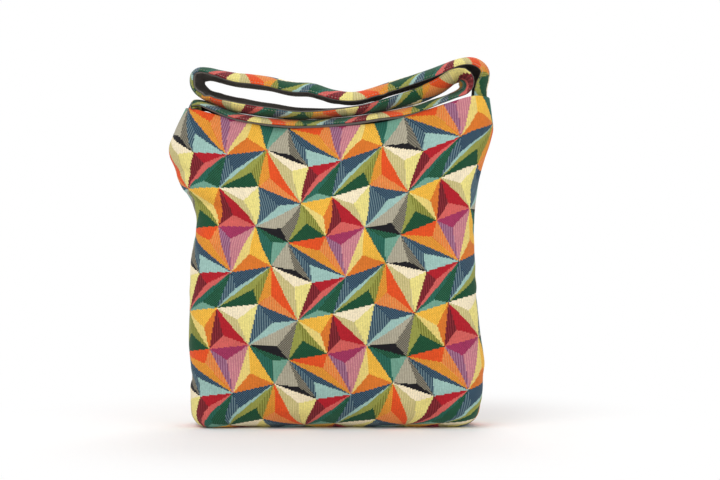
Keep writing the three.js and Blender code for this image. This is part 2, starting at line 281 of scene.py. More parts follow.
def waves(x, z, size, seed):
    """Smooth random waves of about the given size, from -1 to 1."""
    heights = np.random.default_rng(seed).uniform(-1, 1, (256, 64))
    x, z = x / size, z / size
    i, j = np.floor(x).astype(int), np.floor(z).astype(int)
    tx, tz = smooth_step(0, 1, x - i), smooth_step(0, 1, z - j)
    low = heights[i, j] * (1 - tx) + heights[i + 1, j] * tx
    high = heights[i, j + 1] * (1 - tx) + heights[i + 1, j + 1] * tx
    return low * (1 - tz) + high * tz


def wrinkle(side, column, path, share):
    """How far the cloth stands out from its plain form, in mm."""
    x = (share - 0.5) * PRINT_WIDTH
    from_seam = np.minimum(share, 1 - share) * PRINT_WIDTH
    share_x = share * 2 - 1
    rise = levels(path)[2]
    on_wall = smooth_step(BASE_END, ROUND_END, path)
    seed = 3 if side < 0 else 7
    # Broad waves, then puckers along the side seams and along the base.
    total = BROAD_WAVES[0] * waves(x, path, BROAD_WAVES[1], seed)
    total += SMALL_WAVES[0] * waves(x * 1.4, path * 0.8, SMALL_WAVES[1], seed + 1)
    near_seam = np.exp(-from_seam / 26)
    total += SEAM_PUCKERS[0] * near_seam * waves(x * 0.5, path, SEAM_PUCKERS[1], seed + 2)
    near_base = np.exp(-np.abs(path - ROUND_END) / 22)
    total += BASE_PUCKERS[0] * near_base * waves(x, path * 0.4, BASE_PUCKERS[1], seed + 3)
    total -= drawn_depth(CREASES, CREASE_FADE, share_x, rise)
    # The hem's edge, the base and the seams themselves stay calm.
    total *= 1 - 0.85 * smooth_step(*CALM, rise)
    total *= on_wall * smooth_step(0, 12, from_seam)
    pinch = 0.7 * np.exp(-(from_seam / 2.2) ** 2) * (1 - smooth_step(0.86, 0.93, rise))
    total -= pinch * on_wall
    # A full bag stands on the middle of its base, and here on its left end too.
    off_floor = smooth_step(BASE_END - 16, BASE_END + 8, path)
    off_floor *= 1 - smooth_step(ROUND_END - 10, ROUND_END + 14, path)
    off_floor *= smooth_step(-0.9, -0.4, share_x) * smooth_step(0, 40, from_seam)
    return total - BASE_LIFT * off_floor


def skin(side, column, path, inset=0.0, lift=0.0):
    """Points at a depth under the bag's outside, and the print's place there, in mm."""
    point, share = bag_point(side, column, path)
    normal = bag_normal(side, column, path)
    out = wrinkle(side, column, path, share) - inset
    point = point + normal * out[:, None]
    point[:, 2] += lift
    rise = levels(path)[2]
    up = np.where(rise > 0, rise * PRINT_HEIGHT, PRINT_FOOT + path - ROUND_END)
    return point, np.stack([(share - 0.5) * PRINT_WIDTH, up], -1)


print(len(CREASES), "creases are drawn on each panel, and", len(FOLDS), "broad folds")

# %% [markdown]
# ## A sheet of cloth
# Every soft piece here starts as a flat grid, as cloth does on the cutting table. Its points
# are then moved to their places on the bag, each keeping its place in the print as its UV
# coordinates. Both faces could be modelled, but a Solidify modifier gives the sheet its
# thickness towards the inside at no cost, and closes its edges.

# %% Make a sheet
def cloth(name, columns, rows, shape, thickness):
    """A sheet from a grid. shape gives points and print places, in mm, from 0..1 arrays."""
    bm = bmesh.new()
    bmesh.ops.create_grid(bm, x_segments=columns, y_segments=rows, size=1)
    flat = np.array([vert.co.xy for vert in bm.verts]) * 0.5 + 0.5
    points, prints = shape(flat[:, 0], flat[:, 1])
    layer = bm.loops.layers.uv.new("cloth")
    for vert, point in zip(bm.verts, points):
        vert.co = point * MM
    for face in bm.faces:
        face.smooth = True
        for loop in face.loops:
            loop[layer].uv = prints[loop.vert.index] * MM
    bmesh.ops.dissolve_degenerate(bm, dist=0.005 * MM, edges=bm.edges)
    mesh = bpy.data.meshes.new(name)
    bm.to_mesh(mesh)
    bm.free()
    piece = bpy.data.objects.new(name, mesh)
    bpy.context.scene.collection.objects.link(piece)
    wall = piece.modifiers.new("thickness", "SOLIDIFY")
    wall.thickness = thickness * MM
    wall.offset = -1
    print(f"{name}: {len(mesh.polygons)} faces before its thickness")
    return piece


# %% [markdown]
# ## Panels
# Front and back are each one piece of tapestry that runs from the seam under the base, up the
# wall, over the mouth's edge and down inside as a hem. The hem could be a strip of its own, but
# one sheet with a half circle at the mouth reads as folded cloth and not as a cut.

# %% Front and back panel
MIDDLE = TAPESTRY + CLOTH_GAP / 2
TURN = math.pi * MIDDLE
ACROSS = ([0, 26, 138, 164], [0, SIDE_COLUMNS, COLUMNS - SIDE_COLUMNS, COLUMNS])
UPWARDS = ([0, 10, 18, 148, 156, 164],
           [0, BASE_END, ROUND_END, MOUTH_END, MOUTH_END + TURN, MOUTH_END + TURN + HEM])


def panel_shape(side):
    def shape(u, v):
        column = np.interp((u if side < 0 else 1 - u) * ACROSS[0][-1], *ACROSS)
        path = np.interp(v * UPWARDS[0][-1], *UPWARDS)
        beyond = np.maximum(path - MOUTH_END, 0)
        angle = np.minimum(beyond / MIDDLE, math.pi)
        down = np.maximum(beyond - TURN, 0)
        level = np.minimum(path, MOUTH_END) - down
        points, prints = skin(side, column, level, MIDDLE * (1 - np.cos(angle)),
                              MIDDLE * np.sin(angle))
        prints[:, 0] *= -side
        prints[:, 1] += beyond + down
        return points, prints
    return shape


front_panel = cloth("tapestry_front", ACROSS[0][-1], UPWARDS[0][-1], panel_shape(-1), TAPESTRY)
back_panel = cloth("tapestry_back", ACROSS[0][-1], UPWARDS[0][-1], panel_shape(1), TAPESTRY)

# %% [markdown]
# ## Lining
# The lining is a second, thinner bag inside the first. It ends below the mouth, where the hem
# covers its edge. It could be a copy of the panels, made smaller, but it would then cut through
# them at the corners. It follows the same surface, a little further in, and can't show through.

# %% Lining, front and back half
LINING_ACROSS = ([0, 14, 70, 84], ACROSS[1])
LINING_UPWARDS = ([0, 5, 11, 90], [0, BASE_END, ROUND_END, MOUTH_END - LINING_DROP])


def lining_shape(side):
    def shape(u, v):
        column = np.interp((u if side < 0 else 1 - u) * LINING_ACROSS[0][-1], *LINING_ACROSS)
        path = np.interp(v * LINING_UPWARDS[0][-1], *LINING_UPWARDS)
        return skin(side, column, path, LINING_INSET)
    return shape


lining_halves = [cloth(name, LINING_ACROSS[0][-1], LINING_UPWARDS[0][-1], lining_shape(side), TWILL)
                 for name, side in (("twill_lining_front", -1), ("twill_lining_back", 1))]

# %% [markdown]
# ## The strap's route
# The strap is a long flat tube: tapestry outside, twill inside. It leaves the right side seam,
# crosses to the left over the mouth, comes back, turns once more and ends in the left seam.
# A curve with a bevel could carry it, but cloth that hangs over its own length arches across
# its width, here more and there less, and a bevel is the same all along. So each stop has a
# curl of its own, and a tilt towards the viewer. Some stops lie 1 to 3.5 mm off the packed
# model's, where the runs must lie closer together.

# %% Stops of the strap
STRAP_WIDTH = 56
STRAP_TAIL = 19      # of it is sewn inside the hem, at each end
STRAP_ROUTE = [  # share of the mouth's half width, height over its low point, y, curl, tilt
    (0.976, 52, 0, 1 / 22, 1), (0.989, 63, 0, 1 / 24, 4), (0.988, 74, 0, 1 / 25, 8),
    (0.961, 82.5, 0, 1 / 25, 10), (0.91, 88.5, 0, 1 / 26, 10), (0.849, 89.5, 0, 1 / 28, 9),
    (0.777, 86.2, -1, 1 / 34, 6), (0.706, 81.2, -2, 1 / 33, 4), (0.624, 75.5, -3, 1 / 30, 3),
    (0.511, 67.8, -4, 1 / 30, 2), (0.368, 59.7, -5, 1 / 28, 1), (0.245, 51.4, -5, 1 / 30, 1),
    (0.143, 47, -5, 1 / 30, 1), (0.026, 49, -5, 1 / 29, 1), (-0.134, 58, -4, 1 / 27, 1),
    (-0.268, 59.6, -3, 1 / 27, 1), (-0.402, 65.5, -2, 1 / 27, 1), (-0.525, 69, -2, 1 / 27, 2),
    (-0.643, 71, -1, 1 / 29, 2), (-0.75, 74.2, 0, 1 / 36, 4), (-0.841, 77, 0, 1 / 44, 6),
    (-0.906, 76, 0, 1 / 45, 8), (-0.947, 69.5, 0, 1 / 45, 9), (-0.952, 58, 0, 1 / 45, 10),
    (-0.924, 48.5, 0, 1 / 50, 12), (-0.868, 41, 0, 1 / 54, 12.5), (-0.798, 34.8, -1, 1 / 38, 12.5),
    (-0.723, 29.6, -2, 1 / 31, 13), (-0.643, 25.1, -4, 1 / 27, 13), (-0.525, 21.2, -5, 1 / 28, 12),
    (-0.402, 18.2, -6, 1 / 29, 12), (-0.257, 15.9, -6, 1 / 36, 11), (-0.113, 16.5, -6, 1 / 42, 9),
    (0.031, 18.4, -5, 1 / 44, 6), (0.184, 21.6, -5, 1 / 40, 5), (0.317, 25.6, -4, 1 / 29, 4),
    (0.435, 30.1, -3, 1 / 24, 2), (0.537, 35.1, -3, 1 / 22, 0), (0.624, 41.8, -2, 1 / 22, -3),
    (0.71, 51, -1, 1 / 25, -6), (0.778, 61.8, 0, 1 / 36, -10), (0.822, 65.3, 0, 1 / 90, -13),
    (0.842, 58.2, 0, 1 / 120, -13), (0.82, 51.4, 0, 1 / 130, -12), (0.752, 45.2, -1, 1 / 130, -9),
    (0.652, 38.7, -3, 1 / 66, -5), (0.537, 31, -5, 1 / 48, -3), (0.409, 24.8, -6, 1 / 41, 0),
    (0.286, 20.6, -7, 1 / 42, 3), (0.169, 16.8, -8, 1 / 42, 3), (0.041, 14, -8, 1 / 42, 3),
    (-0.113, 12, -8, 1 / 42, 3), (-0.257, 11.6, -8, 1 / 42, 3), (-0.402, 13.4, -8, 1 / 42, 3),
    (-0.531, 16.5, -7, 1 / 42, 3), (-0.643, 20.2, -6, 1 / 46, 3), (-0.723, 25, -5, 1 / 52, 2),
    (-0.798, 31, -4, 1 / 55, 1), (-0.874, 36.3, -2, 1 / 50, 1), (-0.935, 37.5, 0, 1 / 32, 0),
    (-0.958, 33.5, 0, 1 / 20, 0),
]


def seam_stops(column):
    """The strap's tail inside the hem at a side seam, from its end to the mouth."""
    paths = np.array([MOUTH_END, MOUTH_END - LINING_DROP])
    mouth, edge = bag_point(-1, np.full(2, float(column)), paths)[0]
    inwards = -math.copysign(LINING_INSET + TAPESTRY + 2 * CLOTH_GAP, mouth[0])
    places = [mouth + (edge - mouth) * STRAP_TAIL / LINING_DROP * share for share in (1, 0.5, 0)]
    return mouth[0], [(x + inwards, 0, z, 1 / 20, 0) for x, _, z in places]


right_end, right_tail = seam_stops(COLUMNS)
left_end, left_tail = seam_stops(0)
route = [(abs(share) * (left_end if share < 0 else right_end), y, MOUTH_LOW + height, curl, tilt)
         for share, height, y, curl, tilt in STRAP_ROUTE]
strap_stops = np.array(right_tail + route + left_tail[::-1])
print(len(strap_stops), "stops along the strap")

# %% [markdown]
# ## The strap's middle line
# The strap turns softly at its stops. A curve object would do the same, but the cloth, the
# stitches and the print must all know how far along the strap they are. So the curve is worked
# out here and measured in eight thousand short steps, which also gives the strap's length.

# %% A smooth line through the stops
def smooth_line(t):
    """Rows of the strap's stops at shares 0..1 of the curve through them."""
    ends = 2 * strap_stops[[0, -1]] - strap_stops[[1, -2]]
    stops = np.vstack([ends[:1], strap_stops, ends[1:]])
    place = np.clip(t, 0, 1) * (len(strap_stops) - 1)
    i = np.minimum(place.astype(int), len(strap_stops) - 2)
    w = (place - i)[:, None]
    p0, p1, p2, p3 = (stops[i + k] for k in range(4))
    slope1, slope2 = (p2 - p0) / 2, (p3 - p1) / 2
    bend = 3 * (p2 - p1) - 2 * slope1 - slope2
    return p1 + slope1 * w + bend * w ** 2 + (2 * (p1 - p2) + slope1 + slope2) * w ** 3


curve_shares = np.linspace(0, 1, 8001)
curve_places = smooth_line(curve_shares)[:, :3]
curve_steps = np.linalg.norm(np.diff(curve_places, axis=0), axis=1)
curve_run = np.concatenate([[0], np.cumsum(curve_steps)])
strap_length = curve_run[-1]
print(f"the strap is {strap_length:.0f} mm long")

# %% [markdown]
# ## Life in the strap
# Two plies sewn together never lie flat: they puff up between the rows of stitches, sink at
# them, and the edges frill where the strap turns sharply. Noise on each ply would let the plies
# drift apart, so one function gives this movement for any point of the strap, and both plies
# and the stitches share it.

# %% Points of the strap
STITCH_LINE = 26.2   # from the middle of the strap
FRILLS = [(205, 16), (265, 14), (420, 22), (480, 22), (770, 16)]  # run, reach
RIGHT_TURN = 850     # the run at the tight turn on the right
ALLOWANCE = 1.8      # thickness of the seam allowance between the plies
LOW_ALLOWANCE = 1.2  # more of it along the front of the lowest run


def clear_of_tail(from_end):
    """0 on the strap's tail and 1 further along it."""
    return smooth_step(STRAP_TAIL + 8, STRAP_TAIL + 50, from_end)


def strap_sway(run, side_place):
    """How far the whole strap moves off its plain form, in mm."""
    free = clear_of_tail(run) * clear_of_tail(strap_length - run)
    soft = 0.8 * waves(run, side_place, 48, 21) + 0.35 * waves(run, side_place * 0.5, 15, 22)
    edge = smooth_step(12, STRAP_WIDTH / 2, np.abs(side_place))
    frill = sum(np.exp(-((run - at) / reach) ** 2) for at, reach in FRILLS)
    frilled = 1.5 * edge * frill * waves(run, np.sign(side_place) * 9, 7, 23)
    pressed = smooth_step(490, 560, run)    # the lower runs lie on each other
    return (soft + frilled) * free * (1 - 0.7 * pressed)


def strap_puff(side_place):
    """How far a ply stands off its plain form: none at the stitches, most in the middle."""
    off_line = np.abs(np.abs(side_place) - STITCH_LINE)
    rounding = 0.35 * smooth_step(STRAP_WIDTH / 2 - 1.2, STRAP_WIDTH / 2, np.abs(side_place))
    return 0.45 * (1 - np.exp(-(off_line / 1.6) ** 2)) - rounding


def strap_allowance(run, side_place):
    """How far the seam allowance between the plies pushes the backing out near its edges."""
    off_edge = STRAP_WIDTH / 2 - np.abs(side_place)
    bead = smooth_step(0, 1.2, off_edge) * (1 - smooth_step(3.6, 5.4, off_edge))
    lowest = smooth_step(RIGHT_TURN, RIGHT_TURN + 50, run) * (1 - smooth_step(1050, 1100, run))
    free = smooth_step(150, 190, run) * clear_of_tail(strap_length - run)
    free = free * (1 - np.exp(-((run - RIGHT_TURN) / 55) ** 4))
    return (ALLOWANCE + LOW_ALLOWANCE * lowest * (side_place > 0)) * bead * free


def strap_point(run, side_place, height):
    """Points of the strap: length run, place across, height on the tapestry's side, in mm."""
    t = np.interp(run, curve_run, curve_shares)
    stop = smooth_line(t)
    tangent = smooth_line(t + 1e-4)[:, :3] - smooth_line(t - 1e-4)[:, :3]
    tangent /= np.linalg.norm(tangent, axis=1)[:, None]
    out = np.cross(tangent, (0, -1, 0))
    out /= np.linalg.norm(out, axis=1)[:, None]
    across = np.cross(out, tangent)
    tilt = np.radians(stop[:, 4])[:, None]
    across, out = (across * np.cos(tilt) + out * np.sin(tilt),
                   out * np.cos(tilt) - across * np.sin(tilt))
    radius = (1 / stop[:, 3])[:, None]
    angle = side_place[:, None] / radius
    reach = radius + (height + strap_sway(run, side_place))[:, None]
    return stop[:, :3] + across * reach * np.sin(angle) + out * (reach * np.cos(angle) - radius)


allowance = strap_allowance(np.array([strap_length / 2]), np.array([STITCH_LINE]))[0]
print(f"half way along, the seam allowance is {allowance:.1f} mm thick at the stitches")

# %% [markdown]
# ## Both plies
# Each ply is a sheet of its own, so that the dark twill shows as a second layer along every
# edge. One thick sheet with two colours would be less work, but its edge would be one hard
# band. The print runs along the strap, which was cut across the same cloth as the panels.

# %% Tapestry ply and backing ply
STRAP_ROWS = 480
STRAP_COLUMNS = 16
STRAP_ACROSS = ([0, 4, 12, STRAP_COLUMNS], [28, 23, -23, -28])
PRINT_OFFSET = -1    # where the strap was cut from the cloth


def ply_shape(face_height, facing):
    def shape(u, v):
        run = v * strap_length
        side_place = np.interp(u * STRAP_COLUMNS, *STRAP_ACROSS) * facing
        height = face_height + facing * strap_puff(side_place)
        if facing < 0:
            height = height - strap_allowance(run, side_place)
        points = strap_point(run, side_place, height)
        return points, np.stack([run, side_place + PRINT_OFFSET], -1)
    return shape


FACE_HEIGHTS = {1: CLOTH_GAP / 2 + TAPESTRY, -1: -CLOTH_GAP / 2 - TWILL}
strap_tapestry, strap_twill = [
    cloth(name, STRAP_COLUMNS, STRAP_ROWS, ply_shape(FACE_HEIGHTS[facing], facing), thickness)
    for name, facing, thickness in (("strap_tapestry", 1, TAPESTRY), ("strap_twill", -1, TWILL))]

# %% [markdown]
# ## Stitches
# Two rows of light thread hold the plies together, and they show on both sides. There are over
# a thousand stitches, so each is the plainest sphere that still looks round, stretched along
# the strap. A texture would be cheaper, but it would not catch the light on the edge.

# %% Stitches along the strap's edges
STITCH_PITCH = 3.8
STITCH_SIZE = (0.34, 0.34, 1.3)    # half width, half thickness and half length
STITCH_PROUD = 0.1                 # how far a stitch stands out of the cloth
STITCHES_IN_ROW = 24               # short rows keep each mesh small, which is much faster


def sew(name, lines):
    """A piece of stitches. lines gives each row as points and directions out of the cloth."""
    bm = bmesh.new()
    for points, outs in lines:
        row = bmesh.new()
        for place, ahead, out in zip(points[1:-1], points[2:] - points[:-2], outs[1:-1]):
            forward = Vector(ahead).normalized()
            side = Vector(out).cross(forward).normalized()
            axes = Matrix((side, forward.cross(side), forward)).transposed().to_4x4()
            size = Matrix.Diagonal((*(length * MM for length in STITCH_SIZE), 1))
            bmesh.ops.create_uvsphere(row, u_segments=6, v_segments=4, radius=1,
                                      matrix=Matrix.Translation(Vector(place) * MM) @ axes @ size)
        sewn = bpy.data.meshes.new(name)
        row.to_mesh(sewn)
        row.free()
        bm.from_mesh(sewn)
        bpy.data.meshes.remove(sewn)
    for face in bm.faces:
        face.smooth = True
    mesh = bpy.data.meshes.new(name)
    bm.to_mesh(mesh)
    bm.free()
    piece = bpy.data.objects.new(name, mesh)
    bpy.context.scene.collection.objects.link(piece)
    print(f"{name}: {len(mesh.polygons)} faces")
    return piece


def strap_stitch_lines():
    run = np.arange(STRAP_TAIL + 6, strap_length - STRAP_TAIL - 4, STITCH_PITCH)
    for side_place in (STITCH_LINE, -STITCH_LINE):
        for facing, height in FACE_HEIGHTS.items():
            places = np.full_like(run, side_place)
            heights = height - (facing < 0) * strap_allowance(run, places)
            points = strap_point(run, places, heights + STITCH_PROUD * facing)
            above = strap_point(run, places, heights + facing)
            for first in range(0, len(run), STITCHES_IN_ROW):
                part = slice(first, first + STITCHES_IN_ROW + 2)
                yield points[part], (above - points)[part]


strap_stitching = sew("strap_stitching", strap_stitch_lines())

# %% [markdown]
# ## Shader maths as expressions
# A woven print needs some hundred nodes. Placing them one by one would bury the idea, so a
# small class wraps an output of a node: sums and products of wrapped outputs add Math nodes,
# and one method makes any other node. The materials below then read like formulas.

# %% A wrapped socket
class Wire:
    """An output of a node, for sums and products in a material."""

    def __init__(self, tree, socket=None):
        self.tree, self.socket = tree, socket

    def node(self, kind, settings=None, sockets=None, out=0):
        """Any node: its settings, its sockets' values or links, and the output wanted."""
        made = self.tree.nodes.new("ShaderNode" + kind)
        for key, value in (settings or {}).items():
            if key == "stops":
                set_stops(made.color_ramp, value)
            else:
                setattr(made, key, value)
        for key, value in (sockets or {}).items():
            if isinstance(value, Wire):
                self.tree.links.new(value.socket, made.inputs[key])
            else:
                made.inputs[key].default_value = value
        return Wire(self.tree, made.outputs[out])

    def math(self, operation, *others):
        return self.node("Math", {"operation": operation}, dict(enumerate((self, *others))))

    def __add__(self, other):
        return self.math("ADD", other)

    def __sub__(self, other):
        return self.math("SUBTRACT", other)

    def __mul__(self, other):
        return self.math("MULTIPLY", other)

    def __lt__(self, other):
        return self.math("LESS_THAN", other)

    def __gt__(self, other):
        return self.math("GREATER_THAN", other)

    def __rsub__(self, other):
        return self.node("Math", {"operation": "SUBTRACT"}, {0: other, 1: self})

    __radd__ = __add__
    __rmul__ = __mul__

    def least(self, other):
        return self.math("MINIMUM", other)

    def most(self, other):
        return self.math("MAXIMUM", other)

    def floor(self):
        return self.math("FLOOR")

    def fraction(self):
        return self.math("FRACT")

    def dot(self, numbers):
        return self.node("VectorMath", {"operation": "DOT_PRODUCT"}, {0: self, 1: numbers},
                         "Value")

    def scaled(self, factor):
        """A colour or vector times a value."""
        return self.node("VectorMath", {"operation": "SCALE"}, {0: self, "Scale": factor})

    def parts(self):
        """The x and y of a vector."""
        split = self.node("SeparateXYZ", sockets={0: self})
        return split, Wire(self.tree, split.socket.node.outputs[1])

    def mixed(self, other, factor):
        """A colour mixed with another by a value from 0 to 1."""
        return self.node("Mix", {"data_type": "RGBA"}, {0: factor, 6: self, 7: other}, 2)


def set_stops(ramp, stops):
    """A ramp of even steps, one for each colour."""
    ramp.interpolation = "CONSTANT"
    while len(ramp.elements) < len(stops):
        ramp.elements.new(1)
    for i in range(len(stops)):
        ramp.elements[i].position = i / len(stops)
    for i, colour in enumerate(stops):
        ramp.elements[i].color = colour


def tone(code, alpha=1.0):
    """A colour for a socket from a web code such as #aabbcc."""
    parts = [int(code[i:i + 2], 16) / 255 for i in (1, 3, 5)]
    linear = [c / 12.92 if c <= 0.04045 else ((c + 0.055) / 1.055) ** 2.4 for c in parts]
    return (*linear, alpha)


def new_material(name):
    """A material with its shader, and a wire to start from."""
    material = bpy.data.materials.new(name)
    material.use_nodes = True
    tree = material.node_tree
    return material, tree.nodes["Principled BSDF"], Wire(tree)


def feed(shader, name, wire):
    wire.tree.links.new(wire.socket, shader.inputs[name])


print("the web's middle grey is", round(tone("#808080")[0], 3), "in the shader's linear light")

# %% [markdown]
# ## The print's layout
# The tapestry shows facets: triangles that meet in stars, each split into three tones around
# its own peak, as if lit pyramids were seen from above. It is drawn here as a repeat of
# eighteen triangles on nine corners. A picture would be the usual way, but formulas stay
# sharp at any distance, and the repeat is this lesson's own.

# %% Corners, triangles and yarns
REPEAT = (0.141, 0.152)   # width and height of the repeat, in metres
CORNERS = {
    "a0": (0, 0), "a1": (0.36, 0.07), "a2": (0.70, -0.05), "a3": (1, 0),
    "b0": (0.12, 0.31), "b1": (0.47, 0.40), "b2": (0.83, 0.27), "b3": (1.12, 0.31),
    "c0": (-0.07, 0.66), "c1": (0.27, 0.72), "c2": (0.60, 0.61), "c3": (0.93, 0.66),
    "d0": (0, 1), "d1": (0.36, 1.07), "d2": (0.70, 0.95), "d3": (1, 1),
}
# Each family has three tones: yarn, second yarn, and how they are woven together.
SOLID, RIB, CHECK = 0, 0.5, 1
YARNS = {
    "cream": [("#f3e5c4", "#f3e5c4", SOLID), ("#d6c890", "#b5aa6a", RIB),
              ("#e9dc86", "#f3e5c4", SOLID)],
    "navy": [("#1b2c42", "#4e6e80", CHECK), ("#2b4459", "#6b848a", RIB),
             ("#9cc0b8", "#9cc0b8", SOLID)],
    "orange": [("#e0501f", "#e0501f", SOLID), ("#d97a28", "#e0ab3c", CHECK),
               ("#e59350", "#d9702f", RIB)],
    "red": [("#b01c28", "#b01c28", SOLID), ("#6a1820", "#8a2c34", RIB),
            ("#d2605a", "#d2605a", SOLID)],
    "green": [("#123f28", "#2d6b50", CHECK), ("#2b6c5b", "#1f5042", RIB),
              ("#6fa08c", "#6fa08c", SOLID)],
    "olive": [("#787a30", "#9a9c4a", RIB), ("#949848", "#7e8434", SOLID),
              ("#123f28", "#1f5a3a", CHECK)],
    "plum": [("#a8365e", "#8a2c54", CHECK), ("#8a5070", "#a77a92", RIB),
             ("#d28e92", "#b2687a", RIB)],
    "yellow": [("#f3c148", "#e2a034", CHECK), ("#e6cf7a", "#e6cf7a", SOLID),
               ("#d9762a", "#d9762a", SOLID)],
    "grey": [("#8c8674", "#343230", CHECK), ("#b9b29c", "#989280", RIB),
             ("#17151a", "#17151a", SOLID)],
}
# Three corners, family, and where the peak lies between them.
FACETS = [
    ("a0 a1 b1", "olive", (3, 4, 5)), ("a0 b1 b0", "navy", (5, 3, 2)),
    ("a1 a2 b1", "orange", (4, 2, 3)), ("a2 b2 b1", "cream", (3, 5, 4)),
    ("a2 a3 b3", "green", (5, 3, 2)), ("a2 b3 b2", "red", (3, 4, 3)),
    ("b0 b1 c1", "yellow", (4, 3, 4)), ("b0 c1 c0", "plum", (3, 3, 5)),
    ("b1 b2 c2", "grey", (3, 5, 2)), ("b1 c2 c1", "green", (2, 4, 3)),
    ("b2 b3 c2", "navy", (4, 3, 5)), ("b3 c3 c2", "orange", (3, 4, 3)),
    ("c0 c1 d0", "red", (4, 3, 3)), ("c1 d1 d0", "cream", (4, 3, 5)),
    ("c1 c2 d2", "grey", (3, 4, 2)), ("c1 d2 d1", "navy", (3, 5, 3)),
    ("c2 c3 d2", "olive", (3, 3, 5)), ("c3 d3 d2", "yellow", (5, 3, 3)),
]
print(len(FACETS), "facets,", len(YARNS), "yarn families")

# %% [markdown]
# ## The print's formulas
# First the place on the cloth is brought into one repeat, whose borders are broken lines, so
# that no straight grid shows. Then each triangle has three functions that are 0 on an edge and
# 1 at the peak. Where the least of them is above 0 the point is inside, and which one is least
# tells the tone. A mesh cut along the facets would need thousands of faces for the same lines.

# %% Fold a place into the repeat, and find its yarns
def broken_line(place, stops):
    """Height of a line through the stops at a place from 0 to 1."""
    total = 0
    for (x0, y0), (x1, y1) in zip(stops, stops[1:]):
        reach = (place - x0).most(0).least(x1 - x0)
        total = reach * ((y1 - y0) / (x1 - x0)) + total
    return total


def edge_numbers(start, end, peak):
    """Numbers a, b, c so that a x + b y + c is 0 on the edge and 1 at the peak."""
    a, b = end[1] - start[1], start[0] - end[0]
    c = -a * start[0] - b * start[1]
    size = a * peak[0] + b * peak[1] + c
    return a / size, b / size, c / size


def facet_value(place):
    """Which family and tone lies at a place of the repeat, as a value from 0 to 1."""
    families = list(YARNS)
    total = 0
    for corners, family, weights in FACETS:
        points = np.array([CORNERS[name] for name in corners.split()])
        peak = np.array(weights) @ points / sum(weights)
        edges = [place.dot(edge_numbers(points[k - 2], points[k - 1], peak)) for k in range(3)]
        values = [(families.index(family) * 3 + k + 0.5) / (3 * len(families)) for k in range(3)]
        nearer = edges[0].least(edges[1])
        found = (edges[1] < edges[0]) * (values[1] - values[0]) + values[0]
        last = edges[2] < nearer
        found = found + last * (values[2] - found)
        inside = nearer.least(edges[2]) > -1e-4
        total = (found * inside).most(total)
    return total


first_edge = edge_numbers(CORNERS["a0"], CORNERS["a1"], CORNERS["b1"])
print("the first edge's numbers are", [round(number, 2) for number in first_edge])

# %% [markdown]
# ## Tapestry cloth
# Seen close, the cloth is a grid of thick threads, about one and a half millimetres apart. The
# place is rounded to that grid before the print is worked out, so that the facets get the small
# steps a loom gives them. Each thread has its own slight tone, the gaps between threads get
# painted shade, and the bump makes the threads round. Real threads would take millions of faces.

# %% Tapestry material
THREAD = 0.00145    # from thread to thread, in metres


def thread_height(u, v):
    """Rounded threads, from 0 between them to 1 on top."""
    across = (u * (math.pi / THREAD)).math("SINE").math("ABSOLUTE")
    lengthwise = (v * (math.pi / THREAD)).math("SINE").math("ABSOLUTE")
    return across.math("POWER", 0.5) * lengthwise.math("POWER", 0.5)


def tapestry_cloth(name):
    material, shader, start = new_material(name)
    place = start.node("UVMap", {"uv_map": "cloth"})
    u, v = place.parts()
    cell_u, cell_v = (u * (1 / THREAD)).floor(), (v * (1 / THREAD)).floor()
    tile_u = (cell_u + 0.5) * (THREAD / REPEAT[0])
    tile_v = (cell_v + 0.5) * (THREAD / REPEAT[1])
    rows = broken_line(tile_u.fraction(), [CORNERS[c] for c in ("a0", "a1", "a2", "a3")])
    y = tile_v - (tile_v - rows).floor()
    sides = [CORNERS[c][::-1] for c in ("a0", "b0", "c0", "d0")]
    x = tile_u - (tile_u - broken_line(y, sides)).floor()
    value = facet_value(start.node("CombineXYZ", sockets={0: x, 1: y, 2: 1.0}))

    tones = [t for family in YARNS.values() for t in family]
    first = start.node("ValToRGB", {"stops": [tone(t[0], t[2]) for t in tones]}, {0: value})
    second = start.node("ValToRGB", {"stops": [tone(t[1]) for t in tones]}, {0: value})
    weave = Wire(start.tree, first.socket.node.outputs[1])
    rib = (cell_u * 0.5).fraction() > 0.25
    checks = ((cell_u + cell_v) * 0.5).fraction() > 0.25
    shown = (weave > 0.9) * checks + (weave > 0.25) * (weave < 0.75) * rib
    colour = first.mixed(second, shown * 0.8)

    cell = start.node("CombineXYZ", sockets={0: cell_u, 1: cell_v})
    own = start.node("TexWhiteNoise", {"noise_dimensions": "2D"}, {"Vector": cell})
    soft = start.node("TexNoise", {"noise_dimensions": "2D"},
                      {"Vector": place, "Scale": 30.0, "Detail": 2.0})
    thread = thread_height(u, v)
    # Painted shade: the thread height darkens the colour in the gaps between threads. The noise and
    # rib terms are the yarn's own tone.
    tone_and_gap_shade = own * 0.18 + soft * 0.16 + thread * 0.12 + rib * 0.09 + 0.66
    feed(shader, "Base Color", colour.scaled(tone_and_gap_shade))
    feed(shader, "Roughness", 0.97 - own * 0.10)
    bump = start.node("Bump", sockets={"Strength": 0.5, "Distance": 0.0004, "Height": thread})
    feed(shader, "Normal", bump)
    shader.inputs["Specular IOR Level"].default_value = 0.2
    shader.inputs["Sheen Weight"].default_value = 0.1
    return material


tapestry_material = tapestry_cloth("tapestry")
print("the print takes", len(tapestry_material.node_tree.nodes), "nodes")

# %% [markdown]
# ## Twill and thread
# Twill shows fine diagonal ribs. A picture would blur close up, so a sum of the two directions
# of the cloth gives the diagonal, and a sine of it the rib, whose grooves get painted shade. The
# stitching thread is a light cotton with a slight change of tone from stitch to stitch, which
# noise on the object's own coordinates gives.

# %% Twill and thread materials
TWILL_STEP = 0.0014    # from rib to rib, in metres


